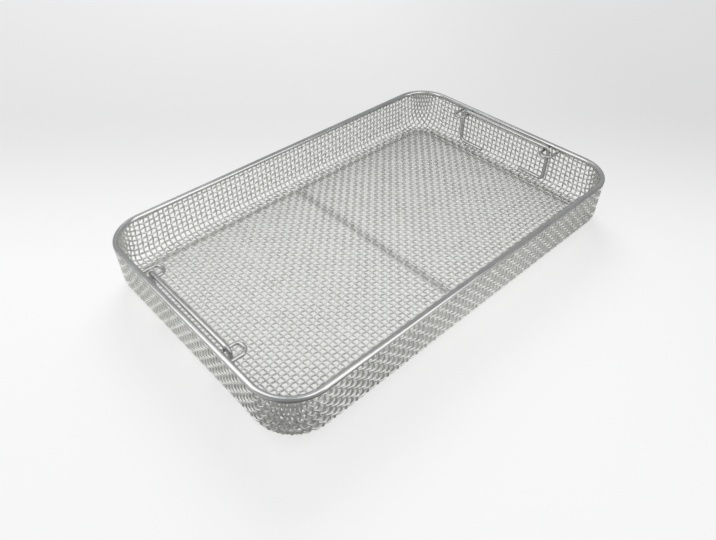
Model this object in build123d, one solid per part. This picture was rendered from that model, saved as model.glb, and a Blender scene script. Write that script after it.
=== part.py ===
from build123d import *
import os

# ---------------------------------------------------------------------------
# Wire-cloth sterilization basket with two drop handles.  Millimetres.
# Frame: +X along the length, +Y across, +Z up.  Origin: centre of the basket
# on the surface that it stands on.
# ---------------------------------------------------------------------------

# rim ring: one round wire, bent to a rounded rectangle
RIM_WIRE = 5.0                 # wire diameter
RIM_LEN = 400.0                # centreline length, X
RIM_WID = 250.0                # centreline width, Y
RIM_R = 34.0                   # centreline corner radius
RIM_Z = 48.3                   # height of the wire's centre

# wire-cloth body: closed skin with the cloth's true outer shape
CLOTH_T = 2.7                  # thickness over two crossing wires of 1.5, pressed together a little
CLOTH_OUT = 2.4                # cloth's outer face outside the rim centreline
CLOTH_Z0 = 4.8                 # underside of the floor cloth
CLOTH_Z1 = 47.0                # top edge before it is fitted to the rim
EDGE_R = 8.5                   # outer radius where the floor turns up

# base: one ring and one cross wire under the floor cloth
BASE_WIRE = 5.0
BASE_IN = 11.3                 # base ring inside the rim centreline
BASE_Z = BASE_WIRE / 2

# handle eyes: a U of wire on edge of the rim, four of them, lying flat
EYE_WIRE = 3.0
EYE_Z = RIM_Z - RIM_WIRE / 2 - EYE_WIRE / 2 + 0.2   # sunk into the rim weld
EYE_Y1 = 50.0                  # inner leg
EYE_Y2 = 62.0                  # outer leg
EYE_REACH = 17.8               # from the rim centreline to the U's far side
EYE_R = 5.2                    # bend radius, centreline

# drop handles: one bent wire each, its two lower ends turned in as stops
BOW_WIRE = 4.0
BOW_IN = 7.0                   # handle plane inside the rim centreline
BOW_Y = 55.0                   # leg centreline
BOW_TOP = 48.3                 # grip bar centreline
BOW_FOOT = 12.0                # turned-in end centreline
BOW_END = 25.0                 # where the turned-in end stops
BOW_R = 5.0                    # bend radius, centreline

HX, HY = RIM_LEN / 2, RIM_WID / 2


def ring(inset, wire, z):
    """Closed round-wire ring on a rounded rectangle, inset from the rim centreline."""
    a, b, r = HX - inset, HY - inset, RIM_R - inset
    body = None
    for sx in (-1, 1):
        for sy in (-1, 1):
            # quarter bend about the corner's vertical axis
            cx, cy = sx * (a - r), sy * (b - r)
            start = {(1, 1): 0, (-1, 1): 90, (-1, -1): 180, (1, -1): 270}[(sx, sy)]
            sec = Plane(origin=(cx, cy, z), x_dir=(1, 0, 0), z_dir=(0, -1, 0)) * \
                Pos(r, 0, 0) * Circle(wire / 2)
            bend = revolve(sec, axis=Axis((cx, cy, z), (0, 0, 1)), revolution_arc=90)
            bend = bend.rotate(Axis((cx, cy, z), (0, 0, 1)), start)
            body = bend if body is None else body + bend
    for s in (-1, 1):
        run = Plane(origin=(-(a - r), s * b, z), z_dir=(1, 0, 0)) * Circle(wire / 2)
        body = body + extrude(run, amount=2 * (a - r), dir=(1, 0, 0))
        run = Plane(origin=(s * a, -(b - r), z), z_dir=(0, 1, 0)) * Circle(wire / 2)
        body = body + extrude(run, amount=2 * (b - r), dir=(0, 1, 0))
    return body.solids()[0]


def tube(points, radii, wire):
    """Round wire along straight runs joined by tangent bends."""
    path = FilletPolyline(*points, radius=radii, close=False)
    edges = path.edges()
    start = path @ 0
    direction = path % 0
    sec = Plane(origin=start, z_dir=direction) * Circle(wire / 2)
    return sweep(sec, path=path).solids()[0]


def tray(grow, z0, z1, edge_r):
    """Solid rounded-rectangle block with a rounded bottom edge."""
    foot = RectangleRounded(2 * (HX + grow), 2 * (HY + grow), RIM_R + grow)
    block = extrude(Pos(0, 0, z0) * foot, amount=z1 - z0, dir=(0, 0, 1))
    low = block.edges().group_by(Axis.Z)[0]
    return fillet(low, edge_r)


# --- rim and base -----------------------------------------------------------
rim_ring = ring(0.0, RIM_WIRE, RIM_Z)
base_ring = ring(BASE_IN, BASE_WIRE, BASE_Z)
half = HY - BASE_IN
cross = extrude(Plane(origin=(0, -half, BASE_Z), z_dir=(0, 1, 0)) * Circle(BASE_WIRE / 2),
                amount=2 * half, dir=(0, 1, 0))
base_cross_wire = (cross - base_ring).solids()[0]

# --- wire-cloth body ----------------------------------------------------------
outer = tray(CLOTH_OUT, CLOTH_Z0, CLOTH_Z1, EDGE_R)
inner = tray(CLOTH_OUT - CLOTH_T, CLOTH_Z0 + CLOTH_T, CLOTH_Z1 + 5, EDGE_R - CLOTH_T)
cloth = outer - inner
cloth = cloth - rim_ring
cloth = cloth.solids().sort_by(SortBy.VOLUME)[-1]
cloth = cloth - base_ring - base_cross_wire
mesh_body = cloth.solids().sort_by(SortBy.VOLUME)[-1]


# --- handle eyes ----------------------------------------------------------------
def eye(sx, sy):
    x0 = sx * (HX + CLOTH_OUT - CLOTH_T)      # the legs end at the cloth's inner face
    x1 = sx * (HX - EYE_REACH)
    body = tube([(x0, sy * EYE_Y1, EYE_Z), (x1, sy * EYE_Y1, EYE_Z),
                 (x1, sy * EYE_Y2, EYE_Z), (x0, sy * EYE_Y2, EYE_Z)],
                EYE_R, EYE_WIRE)
    return (body - rim_ring).solids().sort_by(SortBy.VOLUME)[-1]


# --- drop handles -----------------------------------------------------------------
def bow(sx):
    x = sx * (HX - BOW_IN)
    body = tube([(x, BOW_END, BOW_FOOT), (x, BOW_Y, BOW_FOOT), (x, BOW_Y, BOW_TOP),
                 (x, -BOW_Y, BOW_TOP), (x, -BOW_Y, BOW_FOOT), (x, -BOW_END, BOW_FOOT)],
                BOW_R, BOW_WIRE)
    # the cut ends are rounded over
    ends = [e for e in body.edges().filter_by(GeomType.CIRCLE)
            if abs(abs(e.center().Y) - BOW_END) < 0.01 and abs(e.length - 3.14159265 * BOW_WIRE) < 0.01]
    return fillet(ends, 0.7).solids()[0]


parts = {
    "rim_ring": rim_ring,
    "mesh_body": mesh_body,
    "base_ring": base_ring,
    "base_cross_wire": base_cross_wire,
    "left_eye_front": eye(-1, -1),
    "left_eye_back": eye(-1, 1),
    "right_eye_front": eye(1, -1),
    "right_eye_back": eye(1, 1),
    "left_handle": bow(-1),
    "right_handle": bow(1),
}

os.makedirs("parts", exist_ok=True)
for name, shape in parts.items():
    shape.label = name
    export_step(shape, "parts/" + name + ".step")
    print(name, round(shape.volume, 1), shape.is_valid)
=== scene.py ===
import bpy
import math
import numpy as np
from mathutils import Matrix, Vector


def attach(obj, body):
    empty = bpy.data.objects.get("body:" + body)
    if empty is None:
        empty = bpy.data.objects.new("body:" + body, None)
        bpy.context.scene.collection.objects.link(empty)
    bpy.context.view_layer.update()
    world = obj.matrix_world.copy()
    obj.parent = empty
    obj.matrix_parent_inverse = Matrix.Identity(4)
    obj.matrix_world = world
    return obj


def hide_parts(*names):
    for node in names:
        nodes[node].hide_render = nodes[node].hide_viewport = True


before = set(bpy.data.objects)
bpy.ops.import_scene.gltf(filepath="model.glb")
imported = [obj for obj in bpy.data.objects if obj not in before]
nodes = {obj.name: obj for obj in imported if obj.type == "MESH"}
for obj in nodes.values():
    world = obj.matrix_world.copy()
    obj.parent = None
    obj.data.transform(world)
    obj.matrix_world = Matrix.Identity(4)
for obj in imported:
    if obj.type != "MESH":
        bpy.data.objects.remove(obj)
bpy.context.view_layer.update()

MM = 0.001

# ---------------------------------------------------------------------------
# Camera
# ---------------------------------------------------------------------------
CAM_AZ, CAM_EL, CAM_ROLL = math.radians(-42.944), math.radians(42.41), math.radians(-0.057)
CAM_AT = Vector((-315.2, -317.454, 374.187)) * MM
FOCAL_PX = 611.193

back = Vector((math.sin(CAM_AZ) * math.cos(CAM_EL), -math.cos(CAM_AZ) * math.cos(CAM_EL), math.sin(CAM_EL)))
right = (-back).cross(Vector((0, 0, 1))).normalized()
up = right.cross(-back).normalized()
right2 = right * math.cos(CAM_ROLL) + up * math.sin(CAM_ROLL)
up2 = -right * math.sin(CAM_ROLL) + up * math.cos(CAM_ROLL)
cam_data = bpy.data.cameras.new("camera")
cam_data.sensor_width = 36.0
cam_data.sensor_fit = "HORIZONTAL"
cam_data.lens = FOCAL_PX / 716.0 * 36.0
cam_data.clip_start, cam_data.clip_end = 0.01, 60.0
camera = bpy.data.objects.new("camera", cam_data)
m = Matrix((right2, up2, back)).transposed().to_4x4()
m.translation = CAM_AT
camera.matrix_world = m
bpy.context.scene.collection.objects.link(camera)
bpy.context.scene.camera = camera

# ---------------------------------------------------------------------------
# Floor, light
# ---------------------------------------------------------------------------
scene = bpy.context.scene
scene.view_settings.view_transform = "Standard"
scene.view_settings.look = "None"


def new_material(name):
    mat = bpy.data.materials.new(name)
    mat.use_nodes = True
    nt = mat.node_tree
    for n in list(nt.nodes):
        nt.nodes.remove(n)
    out = nt.nodes.new("ShaderNodeOutputMaterial")
    shader = nt.nodes.new("ShaderNodeBsdfPrincipled")
    nt.links.new(shader.outputs[0], out.inputs[0])
    return mat, nt, shader


FLOOR_PAINTED_GLOW = 0.60                  # painted glow: the floor gives off light of its own, which lifts its shadows
TABLE_PAINTED_REFLECTION = 0.62              # painted reflection: the table under the basket as metal sees it, darker than it shows to the eye


def make_floor():
    n, rad = 96, 9.0
    verts = [(0, 0, 0)]
    rings = [0.4, 0.8, 1.6, 3.2, 6.0, rad]
    for r in rings:
        verts += [(r * math.cos(2 * math.pi * k / n), r * math.sin(2 * math.pi * k / n), 0) for k in range(n)]
    faces = [(0, 1 + k, 1 + (k + 1) % n) for k in range(n)]
    for i in range(len(rings) - 1):
        a, b = 1 + i * n, 1 + (i + 1) * n
        faces += [(a + k, b + k, b + (k + 1) % n, a + (k + 1) % n) for k in range(n)]
    me = bpy.data.meshes.new("floor")
    me.from_pydata(verts, [], faces)
    ob = bpy.data.objects.new("floor", me)
    scene.collection.objects.link(ob)
    mat, nt, sh = new_material("floor_paper")
    sh.inputs["Roughness"].default_value = 0.75
    sh.inputs["Specular IOR Level"].default_value = 0.0
    tc = nt.nodes.new("ShaderNodeTexCoord")

    def fall_off(direction, start, end, low):
        """1 before start along the direction on the floor, low after end."""
        dot = nt.nodes.new("ShaderNodeVectorMath")
        dot.operation = "DOT_PRODUCT"
        dot.inputs[1].default_value = direction
        nt.links.new(tc.outputs["Object"], dot.inputs[0])
        mr = nt.nodes.new("ShaderNodeMapRange")
        mr.interpolation_type = "SMOOTHSTEP"
        mr.inputs["From Min"].default_value = start
        mr.inputs["From Max"].default_value = end
        mr.inputs["To Min"].default_value = 1.0
        mr.inputs["To Max"].default_value = low
        nt.links.new(dot.outputs["Value"], mr.inputs["Value"])
        return mr.outputs[0]

    # painted shade: the floor's colour and glow darken towards its back edge and its right end
    painted_shade = nt.nodes.new("ShaderNodeMath")
    painted_shade.operation = "MULTIPLY"
    nt.links.new(fall_off((0.668, 0.745, 0), -0.062, 0.275, 0.79), painted_shade.inputs[0])
    nt.links.new(fall_off((0.875, -0.485, 0), 0.053, 0.488, 0.905), painted_shade.inputs[1])
    # painted reflection: to glossy rays the table is drawn darker than it shows to the eye,
    # brightest in the directions of the side panels and dark towards the open front
    radial = nt.nodes.new("ShaderNodeTexGradient")
    radial.gradient_type = "RADIAL"
    nt.links.new(tc.outputs["Object"], radial.inputs["Vector"])
    painted_reflection_ramp = nt.nodes.new("ShaderNodeValToRGB")
    painted_reflection_stops = [(-180, 0.80), (-165, 0.60), (-150, 0.25), (-128, 0.25), (-108, 0.80), (-82, 0.85),
             (-60, 0.55), (-30, 0.40), (90, 0.42), (140, 0.60), (165, 0.80), (180, 0.80)]
    for k, (deg, painted_reflection_level) in enumerate(painted_reflection_stops):
        el = painted_reflection_ramp.color_ramp.elements[k] if k < 2 else painted_reflection_ramp.color_ramp.elements.new(0.5)
        el.position = (deg + 180) / 360
        el.color = (painted_reflection_level, painted_reflection_level, painted_reflection_level, 1)
    nt.links.new(radial.outputs["Fac"], painted_reflection_ramp.inputs["Fac"])
    spread = nt.nodes.new("ShaderNodeVectorMath")
    spread.operation = "MULTIPLY"
    spread.inputs[1].default_value = (1 / 0.20, 1 / 0.125, 0.0)
    nt.links.new(tc.outputs["Object"], spread.inputs[0])
    reach = nt.nodes.new("ShaderNodeVectorMath")
    reach.operation = "LENGTH"
    nt.links.new(spread.outputs[0], reach.inputs[0])
    outside = nt.nodes.new("ShaderNodeMapRange")
    outside.interpolation_type = "SMOOTHSTEP"
    outside.inputs["From Min"].default_value = 0.85
    outside.inputs["From Max"].default_value = 1.15
    nt.links.new(reach.outputs["Value"], outside.inputs["Value"])
    painted_reflection_level = nt.nodes.new("ShaderNodeMix")
    painted_reflection_level.data_type = "FLOAT"
    painted_reflection_level.inputs["A"].default_value = TABLE_PAINTED_REFLECTION
    nt.links.new(outside.outputs[0], painted_reflection_level.inputs["Factor"])
    nt.links.new(painted_reflection_ramp.outputs["Color"], painted_reflection_level.inputs["B"])
    # painted reflection: glossy rays see the floor at the painted level, all other rays at its own brightness
    path = nt.nodes.new("ShaderNodeLightPath")
    painted_reflection_mix = nt.nodes.new("ShaderNodeMix")
    painted_reflection_mix.data_type = "FLOAT"
    painted_reflection_mix.inputs["A"].default_value = 1.0
    nt.links.new(path.outputs["Is Glossy Ray"], painted_reflection_mix.inputs["Factor"])
    nt.links.new(painted_reflection_level.outputs["Result"], painted_reflection_mix.inputs["B"])
    painted_shade_with_reflection = nt.nodes.new("ShaderNodeMath")
    painted_shade_with_reflection.operation = "MULTIPLY"
    nt.links.new(painted_shade.outputs[0], painted_shade_with_reflection.inputs[0])
    nt.links.new(painted_reflection_mix.outputs["Result"], painted_shade_with_reflection.inputs[1])
    painted_shade = painted_shade_with_reflection
    noise = nt.nodes.new("ShaderNodeTexNoise")
    noise.inputs["Scale"].default_value = 1.3
    noise.inputs["Detail"].default_value = 2.0
    nt.links.new(tc.outputs["Object"], noise.inputs["Vector"])
    ramp = nt.nodes.new("ShaderNodeValToRGB")
    ramp.color_ramp.elements[0].position = 0.3
    ramp.color_ramp.elements[0].color = (0.553, 0.553, 0.545, 1)
    ramp.color_ramp.elements[1].position = 0.7
    ramp.color_ramp.elements[1].color = (0.568, 0.568, 0.561, 1)
    nt.links.new(noise.outputs["Fac"], ramp.inputs["Fac"])
    # the paper's colour is scaled by the painted shade and the painted reflection
    tint = nt.nodes.new("ShaderNodeVectorMath")
    tint.operation = "SCALE"
    nt.links.new(ramp.outputs["Color"], tint.inputs[0])
    nt.links.new(painted_shade.outputs[0], tint.inputs["Scale"])
    nt.links.new(tint.outputs[0], sh.inputs["Base Color"])
    # painted glow: the floor emits light, dimmed by the same painted shade as its colour
    sh.inputs["Emission Color"].default_value = (1.0, 1.0, 0.995, 1)
    painted_glow = nt.nodes.new("ShaderNodeMath")
    painted_glow.operation = "MULTIPLY"
    painted_glow.inputs[1].default_value = FLOOR_PAINTED_GLOW
    nt.links.new(painted_shade.outputs[0], painted_glow.inputs[0])
    nt.links.new(painted_glow.outputs[0], sh.inputs["Emission Strength"])
    me.materials.append(mat)
    return ob


make_floor()

world = bpy.data.worlds.new("studio")
world.use_nodes = True
wt = world.node_tree
bg = wt.nodes["Background"]
bg.inputs["Color"].default_value = (0.96, 0.97, 1.0, 1)
w_tc = wt.nodes.new("ShaderNodeTexCoord")
w_dot = wt.nodes.new("ShaderNodeVectorMath")
w_dot.operation = "DOT_PRODUCT"
w_dot.inputs[1].default_value = (-0.03, -1.0, 0.0)       # the studio's open, darker side
wt.links.new(w_tc.outputs["Generated"], w_dot.inputs[0])
w_map = wt.nodes.new("ShaderNodeMapRange")
w_map.interpolation_type = "SMOOTHSTEP"
w_map.inputs["From Min"].default_value = -0.22
w_map.inputs["From Max"].default_value = 0.84
w_map.inputs["To Min"].default_value = 0.47
w_map.inputs["To Max"].default_value = 0.37
wt.links.new(w_dot.outputs["Value"], w_map.inputs["Value"])
wt.links.new(w_map.outputs[0], bg.inputs["Strength"])
scene.world = world


def softbox(name, at, to, size, radiance, glossy=True, diffuse=True):
    """Rectangular softbox at a place in metres, facing another."""
    ld = bpy.data.lights.new(name, "AREA")
    ld.shape = "RECTANGLE"
    ld.size, ld.size_y = size
    ld.energy = radiance * math.pi * size[0] * size[1]
    ob = bpy.data.objects.new(name, ld)
    d = Vector(to) - Vector(at)
    ob.matrix_world = Matrix.Translation(Vector(at)) @ d.to_track_quat("-Z", "Y").to_matrix().to_4x4()
    scene.collection.objects.link(ob)
    ob.visible_camera = False
    ob.visible_glossy = glossy
    ob.visible_diffuse = diffuse
    return ob


softbox("overhead", (0, 0, 1.6), (0, 0, 0), (3.2, 3.0), 0.03, glossy=False)
softbox("low_back", (0.91, 1.09, 1.11), (0, 0, 0), (0.9, 0.9), 4.7, glossy=False)
for name, az, el, away, size, radiance in (
        ("side_left", 152.0, 45.0, 0.72, (0.36, 0.88), 1.25),
        ("side_right", -66.0, 17.0, 1.45, (0.60, 1.20), 1.40),
        ("front_right", -88.0, 60.0, 1.02, (0.64, 0.90), 1.15),
        ("back", 84.0, 56.0, 2.08, (1.30, 0.46), 0.85)):
    a, e = math.radians(az), math.radians(el)
    softbox(name, (away * math.cos(e) * math.cos(a), away * math.cos(e) * math.sin(a), away * math.sin(e)),
            (0.0, 0.0, 0.0), size, radiance, diffuse=False)


# ---------------------------------------------------------------------------
# Steel
# ---------------------------------------------------------------------------


def steel(name, dark, light, rough, scale=1.0, bump=0.15, metallic=1.0):
    """Electropolished drawn wire: faint blotches, fine drawing marks and pits."""
    mat, nt, sh = new_material(name)
    sh.inputs["Metallic"].default_value = metallic
    tc = nt.nodes.new("ShaderNodeTexCoord")
    big = nt.nodes.new("ShaderNodeTexNoise")
    big.inputs["Scale"].default_value = 55.0 * scale
    big.inputs["Detail"].default_value = 4.0
    big.inputs["Roughness"].default_value = 0.6
    fine = nt.nodes.new("ShaderNodeTexNoise")
    fine.inputs["Scale"].default_value = 900.0 * scale
    fine.inputs["Detail"].default_value = 3.0
    nt.links.new(tc.outputs["Object"], big.inputs["Vector"])
    nt.links.new(tc.outputs["Object"], fine.inputs["Vector"])
    ramp = nt.nodes.new("ShaderNodeValToRGB")
    ramp.color_ramp.elements[0].position = 0.32
    ramp.color_ramp.elements[0].color = (*dark, 1)
    ramp.color_ramp.elements[1].position = 0.68
    ramp.color_ramp.elements[1].color = (*light, 1)
    nt.links.new(big.outputs["Fac"], ramp.inputs["Fac"])
    nt.links.new(ramp.outputs["Color"], sh.inputs["Base Color"])
    mix = nt.nodes.new("ShaderNodeMath")
    mix.operation = "MULTIPLY_ADD"
    mix.inputs[1].default_value = 0.5
    nt.links.new(fine.outputs["Fac"], mix.inputs[0])
    half = nt.nodes.new("ShaderNodeMath")
    half.operation = "MULTIPLY"
    half.inputs[1].default_value = 0.5
    nt.links.new(big.outputs["Fac"], half.inputs[0])
    nt.links.new(half.outputs[0], mix.inputs[2])
    rr = nt.nodes.new("ShaderNodeMapRange")
    rr.inputs["From Min"].default_value = 0.3
    rr.inputs["From Max"].default_value = 0.7
    rr.inputs["To Min"].default_value = rough[0]
    rr.inputs["To Max"].default_value = rough[1]
    nt.links.new(mix.outputs[0], rr.inputs["Value"])
    nt.links.new(rr.outputs[0], sh.inputs["Roughness"])
    bn = nt.nodes.new("ShaderNodeBump")
    bn.inputs["Strength"].default_value = bump
    bn.inputs["Distance"].default_value = 0.0001
    nt.links.new(fine.outputs["Fac"], bn.inputs["Height"])
    nt.links.new(bn.outputs[0], sh.inputs["Normal"])
    return mat


MAT_RIM = steel("steel_rim", (0.56, 0.56, 0.55), (0.66, 0.66, 0.65), (0.16, 0.24))
MAT_HANDLE = steel("steel_handle", (0.54, 0.54, 0.53), (0.66, 0.66, 0.65), (0.18, 0.30))
MAT_BASE = steel("steel_base", (0.72, 0.72, 0.71), (0.82, 0.82, 0.81), (0.34, 0.44), metallic=0.85)
MAT_WELD = steel("steel_weld", (0.50, 0.49, 0.47), (0.66, 0.65, 0.63), (0.30, 0.48), scale=3.0, bump=0.3)
MAT_CLOTH = steel("steel_cloth", (0.75, 0.75, 0.725), (0.89, 0.89, 0.862), (0.27, 0.38), scale=1.6, metallic=0.93)

for name, mat in (("rim_ring", MAT_RIM), ("base_ring", MAT_BASE), ("base_cross_wire", MAT_BASE),
                  ("left_eye_front", MAT_HANDLE), ("left_eye_back", MAT_HANDLE),
                  ("right_eye_front", MAT_HANDLE), ("right_eye_back", MAT_HANDLE),
                  ("left_handle", MAT_HANDLE), ("right_handle", MAT_HANDLE)):
    ob = nodes[name]
    ob.data.materials.clear()
    ob.data.materials.append(mat)
    ob.data.polygons.foreach_set("use_smooth", [True] * len(ob.data.polygons))

# ---------------------------------------------------------------------------
# Woven wire cloth.  Two families of wires at one pitch, plain weave, drawn
# from a flat blank: floor and straight walls keep the square grid, the four
# corners shear.  Millimetres.
# ---------------------------------------------------------------------------
PITCH = 5.2
WIRE_D = 1.5
CRIMP = 0.42                       # wires press into each other a little at the crossings
A, B, R = 201.05, 126.05, 35.05    # wall mid-surface: half lengths and corner radius
Z_FLOOR, R_EDGE, Z_END = 6.15, 7.2, 47.2
Z_TURN = 44.2                      # from here up the cloth runs in under the rim
SAMPLES = 4
SIDES = 6


def section(x, y):
    """Inward distance from the rounded rectangle and the inward normal, first quadrant."""
    dx, dy = x - (A - R), y - (B - R)
    corner = (dx > 0) & (dy > 0)
    r = np.hypot(dx, dy) + 1e-9
    s = np.where(corner, R - r, np.minimum(A - x, B - y))
    on_x = (A - x) < (B - y)
    nx = np.where(corner, -dx / r, np.where(on_x, -1.0, 0.0))
    ny = np.where(corner, -dy / r, np.where(on_x, 0.0, -1.0))
    return s, nx, ny


def project(p):
    """Nearest point of the tray's mid-surface and the outward normal there, first quadrant."""
    x, y, z = p[..., 0], p[..., 1], p[..., 2]
    s, nx, ny = section(x, y)
    cs, cz = R_EDGE, Z_FLOOR + R_EDGE
    ds, dz = s - cs, z - cz
    l = np.hypot(ds, dz) + 1e-9
    arc = (ds < 0) & (dz < 0)
    floor = (ds >= 0) & ((z - Z_FLOOR) < s)
    s2 = np.where(arc, cs + R_EDGE * ds / l, np.where(floor, s, 0.0))
    z2 = np.where(arc, cz + R_EDGE * dz / l, np.where(floor, Z_FLOOR, z))
    ns = np.where(arc, ds / l, np.where(floor, 0.0, -1.0))
    nz = np.where(arc, dz / l, np.where(floor, -1.0, 0.0))
    return (np.stack([x + (s2 - s) * nx, y + (s2 - s) * ny, z2], -1),
            np.stack([ns * nx, ns * ny, nz], -1))


def folded(u, v):
    """Blank point (u, v) folded up without stretch, corners fanned out, first quadrant."""
    du, dv = u - (A - R), v - (B - R)
    corner = (du > 0) & (dv > 0)
    r = np.hypot(du, dv) + 1e-9
    on_x = (u - A) > (v - B)
    t = np.where(corner, r - (R - R_EDGE), np.where(on_x, u - (A - R_EDGE), v - (B - R_EDGE)))
    ex = np.where(corner, du / r, np.where(on_x, 1.0, 0.0))
    ey = np.where(corner, dv / r, np.where(on_x, 0.0, 1.0))
    a = np.clip(t / R_EDGE, 0, math.pi / 2)
    out = np.where(t <= 0, t, R_EDGE * np.sin(a))
    z = Z_FLOOR + np.where(t <= 0, 0, R_EDGE * (1 - np.cos(a))) + np.maximum(t - R_EDGE * math.pi / 2, 0)
    bx = np.where(corner, A - R + (R - R_EDGE) * ex, np.where(on_x, A - R_EDGE, u))
    by = np.where(corner, B - R + (R - R_EDGE) * ey, np.where(on_x, v, B - R_EDGE))
    return np.stack([bx + out * ex, by + out * ey, z], -1)


def drawn_corner(u, v, seed):
    """Relaxes one corner of the net: wires keep their length and stiffness, crossings may shear until they lock."""
    U, V = np.meshgrid(u, v, indexing="ij")
    p = folded(U, V)
    rng = np.random.default_rng(seed)
    du, dv = U - (A - R), V - (B - R)
    reach = 42.0 + rng.uniform(-4, 4)
    held = (du < -reach) | (dv < -reach) | ((du < 5) & (dv < 5))
    free = (~held).astype(float)
    p, _ = project(p + free[..., None] * rng.normal(0, 0.4, p.shape))
    locked = 2.3

    def pull(a, b, edge):
        pa, pb, wa, wb = p[a], p[b], free[a], free[b]
        d = pb - pa
        l = np.linalg.norm(d, axis=-1) + 1e-9
        if edge:
            c = l - PITCH
            c = np.where(c > 0, c, 0.55 * c)
        else:
            c = 0.7 * np.minimum(l - locked, 0)
        g = (c / l / np.maximum(wa + wb, 1e-9))[..., None] * d
        p[a] += wa[..., None] * g
        p[b] -= wb[..., None] * g

    nu, nv = U.shape
    full = slice(None)
    for _ in range(1500):
        for k in (0, 1):
            n = min(len(range(k, nu - 1, 2)), len(range(k + 1, nu, 2)))
            a, b = slice(k, k + 2 * n, 2), slice(k + 1, k + 1 + 2 * n, 2)
            pull((a, full), (b, full), True)
            pull((a, slice(0, nv - 1)), (b, slice(1, nv)), False)
            pull((b, slice(0, nv - 1)), (a, slice(1, nv)), False)
            n = min(len(range(k, nv - 1, 2)), len(range(k + 1, nv, 2)))
            pull((full, slice(k, k + 2 * n, 2)), (full, slice(k + 1, k + 1 + 2 * n, 2)), True)
        for axis in (0, 1):
            q = np.moveaxis(p, axis, 0)
            d = np.zeros_like(q)
            d[1:-1] = 0.5 * (q[2:] + q[:-2]) - q[1:-1]
            nrm = np.moveaxis(project(p)[1], axis, 0)
            d -= (d * nrm).sum(-1, keepdims=True) * nrm
            e = np.zeros_like(q)
            e[1:-1] = 0.5 * (d[2:] + d[:-2]) - d[1:-1]
            q -= 0.4 * np.moveaxis(free, axis, 0)[..., None] * e
        p, _ = project(p)
    return p


def spline(q, per):
    """Smooth samples through the points q, per steps between neighbours."""
    n = len(q)
    pre, post = 2 * q[0] - q[1], 2 * q[-1] - q[-2]
    e = np.concatenate([[pre], q, [post]])
    t = (np.arange(per) / per)[None, :, None]
    a, b, c, d = e[0:n - 1, None], e[1:n, None], e[2:n + 1, None], e[3:n + 2, None]
    s = 0.5 * ((2 * b) + (-a + c) * t + (2 * a - 5 * b + 4 * c - d) * t ** 2 + (-a + 3 * b - 3 * c + d) * t ** 3)
    return np.concatenate([s.reshape(-1, 3), q[-1:]])


def cloth_net():
    """All crossings of the cloth, by the wires' numbers along X and along Y."""
    nu, nv = 48, 34
    u = (np.arange(-nu, nu) + 0.5) * PITCH
    v = (np.arange(-nv, nv) + 0.5) * PITCH
    rng = np.random.default_rng(11)
    U, V = np.meshgrid(u, v, indexing="ij")
    net = folded(np.abs(U), np.abs(V))
    pu, pv = u[nu:], v[nv:]
    iu, iv = np.searchsorted(pu, 105.0), np.searchsorted(pv, 40.0)
    for sx in (0, 1):
        for sy in (0, 1):
            block = drawn_corner(pu[iu:], pv[iv:], 1 + sx + 2 * sy)
            rows = nu + np.arange(iu, nu) if sx else nu - 1 - np.arange(iu, nu)
            cols = nv + np.arange(iv, nv) if sy else nv - 1 - np.arange(iv, nv)
            net[np.ix_(rows, cols)] = block
    # hand-set spacing of the loom: each wire sits a little off its place
    flat = np.clip((60 - np.abs(net[..., 2] - Z_FLOOR)) / 60, 0, 1)
    net[..., 0] += (rng.normal(0, 0.10, 2 * nu)[:, None] * np.sign(U)) * flat
    net[..., 1] += (rng.normal(0, 0.10, 2 * nv)[None, :] * np.sign(V)) * flat
    net = project(net)[0]
    sign = np.stack([np.sign(U), np.sign(V)], -1)
    return net, sign


def signed(p, sx, sy):
    q = p.copy()
    q[:, 0] *= sx
    q[:, 1] *= sy
    return q


def wire_paths(net, sign):
    """Centre lines of all wires, with the cloth's normal along them, in two families."""
    families = []
    for family in (0, 1):
        paths = []
        count = net.shape[1 - family]
        for k in range(count):
            q = net[:, k] if family == 0 else net[k]
            s = sign[:, k] if family == 0 else sign[k]
            world_q = q.copy()
            world_q[:, :2] *= s
            line = spline(world_q, SAMPLES)
            t = np.arange(len(line)) / SAMPLES
            sg = np.sign(line[:, :2])
            first = line.copy()
            first[:, :2] = np.abs(first[:, :2])
            first, nrm = project(first)
            # up under the rim the cloth leans in to the rim wire's centre line
            lean = np.clip((first[:, 2] - Z_TURN) / (Z_END - Z_TURN), 0, 1)
            weave = np.cos(math.pi * t) * (1 if (k % 2) ^ family else -1)
            first = first + nrm * (CRIMP * WIRE_D * weave * (1 - lean ** 2) - 0.75 * lean ** 2)[:, None]
            first[:, :2] *= sg
            nrm[:, :2] *= sg
            inside = first[:, 2] < Z_END
            # contiguous stretches below the rim
            idx = np.flatnonzero(inside)
            if not len(idx):
                continue
            for run in np.split(idx, np.flatnonzero(np.diff(idx) > 1) + 1):
                if len(run) < 3 * SAMPLES:
                    continue
                a, b = max(run[0] - 1, 0), min(run[-1] + 1, len(first) - 1)
                pts, ns = first[a:b + 1].copy(), nrm[a:b + 1]
                for end, nxt in ((0, 1), (-1, -2)):
                    z0, z1 = pts[end, 2], pts[nxt, 2]
                    if z0 > Z_END:
                        f = (Z_END - z1) / (z0 - z1)
                        pts[end] = pts[nxt] + f * (pts[end] - pts[nxt])
                paths.append((pts, ns, k))
        families.append(paths)
    return families


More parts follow.
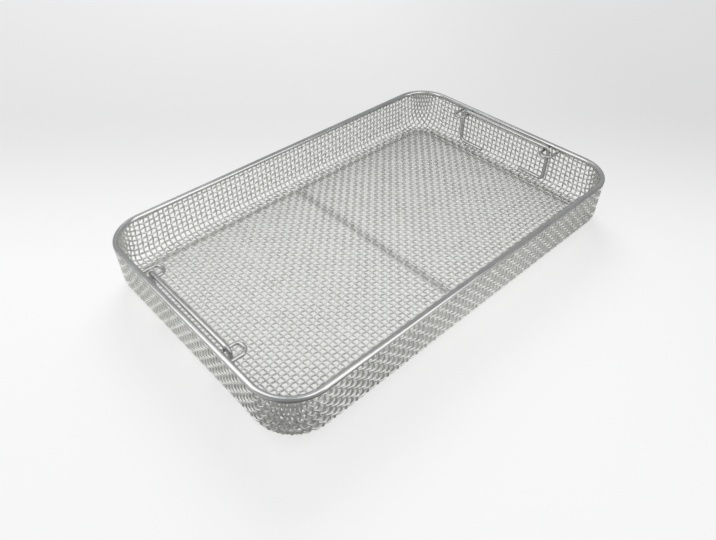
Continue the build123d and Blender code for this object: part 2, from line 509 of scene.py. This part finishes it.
def tubes(paths, name, radius, sides):
    """One mesh of closed round wires along the paths."""
    co, faces, uv_u, uv_v = [], [], [], []
    base = 0
    grow = radius / math.sqrt(math.sin(2 * math.pi / sides) * sides / (2 * math.pi))
    ang = 2 * math.pi * np.arange(sides) / sides
    quads = []
    for pts, ns, _ in paths:
        tan = np.gradient(pts, axis=0)
        tan /= np.linalg.norm(tan, axis=1, keepdims=True)
        side = np.cross(tan, ns)
        side /= np.linalg.norm(side, axis=1, keepdims=True)
        nn = np.cross(side, tan)
        ring = (pts[:, None] + grow * (np.cos(ang)[None, :, None] * side[:, None]
                                       + np.sin(ang)[None, :, None] * nn[:, None]))
        n = len(pts)
        co.append(ring.reshape(-1, 3))
        i = np.arange(n - 1)[:, None] * sides
        j = np.arange(sides)[None, :]
        j2 = (j + 1) % sides
        q = np.stack([i + j, i + sides + j, i + sides + j2, i + j2], -1).reshape(-1, 4) + base
        quads.append(q)
        faces.append((base + np.arange(sides)).tolist())
        faces.append((base + (n - 1) * sides + np.arange(sides))[::-1].tolist())
        base += n * sides
    co = np.concatenate(co) * MM
    quads = np.concatenate(quads)
    caps = np.array(faces, dtype=np.int64)
    me = bpy.data.meshes.new(name)
    nq, nc = len(quads), len(caps)
    me.vertices.add(len(co))
    me.vertices.foreach_set("co", co.astype(np.float32).ravel())
    me.loops.add(nq * 4 + nc * sides)
    me.loops.foreach_set("vertex_index", np.concatenate([quads.ravel(), caps.ravel()]).astype(np.int32))
    me.polygons.add(nq + nc)
    starts = np.concatenate([np.arange(nq) * 4, nq * 4 + np.arange(nc) * sides])
    me.polygons.foreach_set("loop_start", starts.astype(np.int32))
    me.polygons.foreach_set("use_smooth", np.ones(nq + nc, bool))
    me.update(calc_edges=True)
    me.validate()
    ob = bpy.data.objects.new(name, me)
    scene.collection.objects.link(ob)
    return ob


net, sign = cloth_net()
along_x, along_y = wire_paths(net, sign)
half_v, half_u = net.shape[1] // 2, net.shape[0] // 2
groups = (
    ("cloth_long_wires_front", [p for p in along_x if p[2] < half_v]),
    ("cloth_long_wires_back", [p for p in along_x if p[2] >= half_v]),
    ("cloth_cross_wires_left", [p for p in along_y if p[2] < half_u]),
    ("cloth_cross_wires_right", [p for p in along_y if p[2] >= half_u]),
)
for name, paths in groups:
    ob = tubes(paths, name, WIRE_D / 2, SIDES)
    ob.data.materials.append(MAT_CLOTH)
    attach(ob, "root")
    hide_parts("mesh_body")
    print(name, len(paths), "wires", len(ob.data.vertices), "vertices")

# ---------------------------------------------------------------------------
# Round wires of rim, base, eyes and handles, with finely stepped bends.
# Millimetres.
# ---------------------------------------------------------------------------


def bent_wire(name, points, bend, wire, normal, closed=False, ends=0.0, sides=32):
    """Round wire through the points in one plane, bent to a radius at each inner point."""
    pts = [Vector(q) for q in points]
    n = len(pts)
    line = [] if closed else [pts[0]]
    for i in range(0 if closed else 1, n if closed else n - 1):
        a, b, c = pts[i - 1], pts[i], pts[(i + 1) % n]
        u, w = (a - b).normalized(), (c - b).normalized()
        half = u.angle(w) / 2
        centre = b + (u + w).normalized() * (bend / math.sin(half))
        first = b + u * (bend / math.tan(half)) - centre
        last = b + w * (bend / math.tan(half)) - centre
        axis = first.cross(last).normalized()
        turn = math.pi - 2 * half
        steps = max(10, int(math.degrees(turn) / 3))
        for k in range(steps + 1):
            line.append(centre + Matrix.Rotation(turn * k / steps, 3, axis) @ first)
    if not closed:
        line.append(pts[-1])
        if not ends:
            # a ring close to each end keeps the shading of the long run true
            line.insert(1, line[0] + (line[1] - line[0]).normalized() * 0.4)
            line.insert(-1, line[-1] + (line[-2] - line[-1]).normalized() * 0.4)
    line = np.array([list(q) for q in line])
    radius = np.full(len(line), wire / 2)
    if ends:
        # the cut ends are rounded over
        s = ends * np.array([0.0, 0.12, 0.3, 0.6, 1.0])
        r = wire / 2 - ends + np.sqrt(ends ** 2 - (ends - s) ** 2)
        t0 = (line[1] - line[0]) / np.linalg.norm(line[1] - line[0])
        t1 = (line[-2] - line[-1]) / np.linalg.norm(line[-2] - line[-1])
        line = np.concatenate([line[0] + s[:, None] * t0, line[1:-1], (line[-1] + s[:, None] * t1)[::-1]])
        radius = np.concatenate([r, radius[1:-1], r[::-1]])
    if closed:
        ahead = np.roll(line, -1, 0) - line
        behind = line - np.roll(line, 1, 0)
        tan = ahead / np.linalg.norm(ahead, axis=1)[:, None] + behind / np.linalg.norm(behind, axis=1)[:, None]
    else:
        step = np.diff(line, axis=0)
        step /= np.linalg.norm(step, axis=1)[:, None]
        tan = np.concatenate([step[:1], step[1:] + step[:-1], step[-1:]])
    tan /= np.linalg.norm(tan, axis=1)[:, None]
    up_way = np.array(normal, float)
    side = np.cross(tan, up_way)
    ang = 2 * math.pi * np.arange(sides) / sides
    co = (line[:, None] + radius[:, None, None] * (np.cos(ang)[None, :, None] * side[:, None]
                                                   + np.sin(ang)[None, :, None] * up_way))
    m = len(line)
    faces = []
    for i in range(m if closed else m - 1):
        j0, j1 = i * sides, ((i + 1) % m) * sides
        faces += [(j0 + k, j1 + k, j1 + (k + 1) % sides, j0 + (k + 1) % sides) for k in range(sides)]
    if not closed:
        faces.append(tuple(range(sides)))
        faces.append(tuple(range(m * sides - 1, (m - 1) * sides - 1, -1)))
    me = bpy.data.meshes.new(name)
    me.from_pydata((co.reshape(-1, 3) * MM).tolist(), [], faces)
    me.polygons.foreach_set("use_smooth", [len(f) == 4 for f in faces])
    ob = bpy.data.objects.new(name, me)
    scene.collection.objects.link(ob)
    return ob


def box_corners(x, y, z):
    return [(x, y, z), (-x, y, z), (-x, -y, z), (x, -y, z)]


UP, ALONG = (0, 0, 1), (1, 0, 0)
wires = [("rim_ring", "rim_wire", MAT_RIM, "root",
          bent_wire("rim_wire_ring", box_corners(200.0, 125.0, 48.3), 34.0, 5.0, UP, closed=True, sides=40)),
         ("base_ring", "base_wire", MAT_BASE, "root",
          bent_wire("base_wire_ring", box_corners(188.7, 113.7, 2.5), 22.7, 5.0, UP, closed=True)),
         ("base_cross_wire", "base_wire", MAT_BASE, "root",
          bent_wire("base_wire_across", [(0, -113.7, 2.5), (0, 113.7, 2.5)], 0.0, 5.0, UP))]
for sx, end in ((-1, "left"), (1, "right")):
    for sy, part in ((-1, "front"), (1, "back")):
        x0, x1 = sx * 199.9, sx * 182.2
        wires.append((end + "_eye_" + part, "handle_wire", MAT_HANDLE, "root",
                      bent_wire("wire_" + end + "_eye_" + part,
                                [(x0, sy * 50.0, 44.5), (x1, sy * 50.0, 44.5),
                                 (x1, sy * 62.0, 44.5), (x0, sy * 62.0, 44.5)], 5.2, 3.0, UP)))
    x = sx * 193.0
    wires.append((end + "_handle", "handle_wire", MAT_HANDLE, end + "_handle_body",
                  bent_wire("wire_" + end + "_handle",
                            [(x, 25.0, 12.0), (x, 55.0, 12.0), (x, 55.0, 48.3),
                             (x, -55.0, 48.3), (x, -55.0, 12.0), (x, -25.0, 12.0)], 5.0, 4.0, ALONG, ends=0.7)))
for node, slot, mat, body, ob in wires:
    ob.data.materials.append(mat)
    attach(ob, body)
    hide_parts(node)

# ---------------------------------------------------------------------------
# Welds: a bead where each eye leg meets the rim's underside, and spots where
# the floor cloth sits on the base ring and the cross wire.  Millimetres.
# ---------------------------------------------------------------------------


def beads(name, places, seed):
    """One mesh of uneven weld beads, each given as centre and three half sizes."""
    lon, lat = 16, 9
    th = 2 * math.pi * np.arange(lon) / lon
    ph = math.pi * (np.arange(lat) + 1) / (lat + 1)
    unit = np.stack([np.outer(np.sin(ph), np.cos(th)), np.outer(np.sin(ph), np.sin(th)),
                     np.outer(np.cos(ph), np.ones(lon))], -1).reshape(-1, 3)
    unit = np.concatenate([unit, [[0, 0, 1.0], [0, 0, -1.0]]])
    rng = np.random.default_rng(seed)
    co, faces = [], []
    for centre, half in places:
        base = len(co) * len(unit)
        lumps = np.zeros(len(unit))
        for _ in range(5):
            way = rng.normal(0, 1, 3)
            lumps += 0.045 * np.sin(2.6 * unit @ way / np.linalg.norm(way) + rng.uniform(0, 6.28))
        co.append(np.array(centre) + unit * (1 + lumps)[:, None] * np.array(half) * rng.uniform(0.9, 1.05))
        for i in range(lat - 1):
            for j in range(lon):
                k = (j + 1) % lon
                faces.append((base + i * lon + j, base + (i + 1) * lon + j,
                              base + (i + 1) * lon + k, base + i * lon + k))
        top, low = base + lat * lon, base + lat * lon + 1
        for j in range(lon):
            k = (j + 1) % lon
            faces.append((top, base + j, base + k))
            faces.append((low, base + (lat - 1) * lon + k, base + (lat - 1) * lon + j))
    me = bpy.data.meshes.new(name)
    me.from_pydata((np.concatenate(co) * MM).tolist(), [], faces)
    me.polygons.foreach_set("use_smooth", [True] * len(me.polygons))
    me.materials.append(MAT_WELD)
    ob = bpy.data.objects.new(name, me)
    scene.collection.objects.link(ob)
    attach(ob, "root")
    return ob


for sx, end in ((-1, "left"), (1, "right")):
    for sy, part in ((-1, "front"), (1, "back")):
        spots = [((sx * 198.0, sy * y, 45.95), (1.9, 2.1, 1.25)) for y in (50.0, 62.0)]
        ob = beads("weld_" + end + "_eye_" + part, spots, 40 + 2 * sx + sy)

RING_A, RING_B, RING_R = 188.7, 113.7, 22.7    # base ring's centre line
spots = []
for k in range(-7, 7):
    x = (5 * k + 0.5) * PITCH + 2 * PITCH
    if abs(x) < RING_A - RING_R and abs(x) > 8:
        spots += [((x, sy * RING_B, 4.95), (1.6, 1.5, 0.75)) for sy in (-1, 1)]
for k in range(-4, 4):
    y = (5 * k + 0.5) * PITCH + 2 * PITCH
    if abs(y) < RING_B - RING_R:
        spots += [((x, y, 4.95), (1.5, 1.6, 0.75)) for x in (-RING_A, 0.0, RING_A)]
ob = beads("weld_spots_base", spots, 7)
print("weld spots", len(spots))
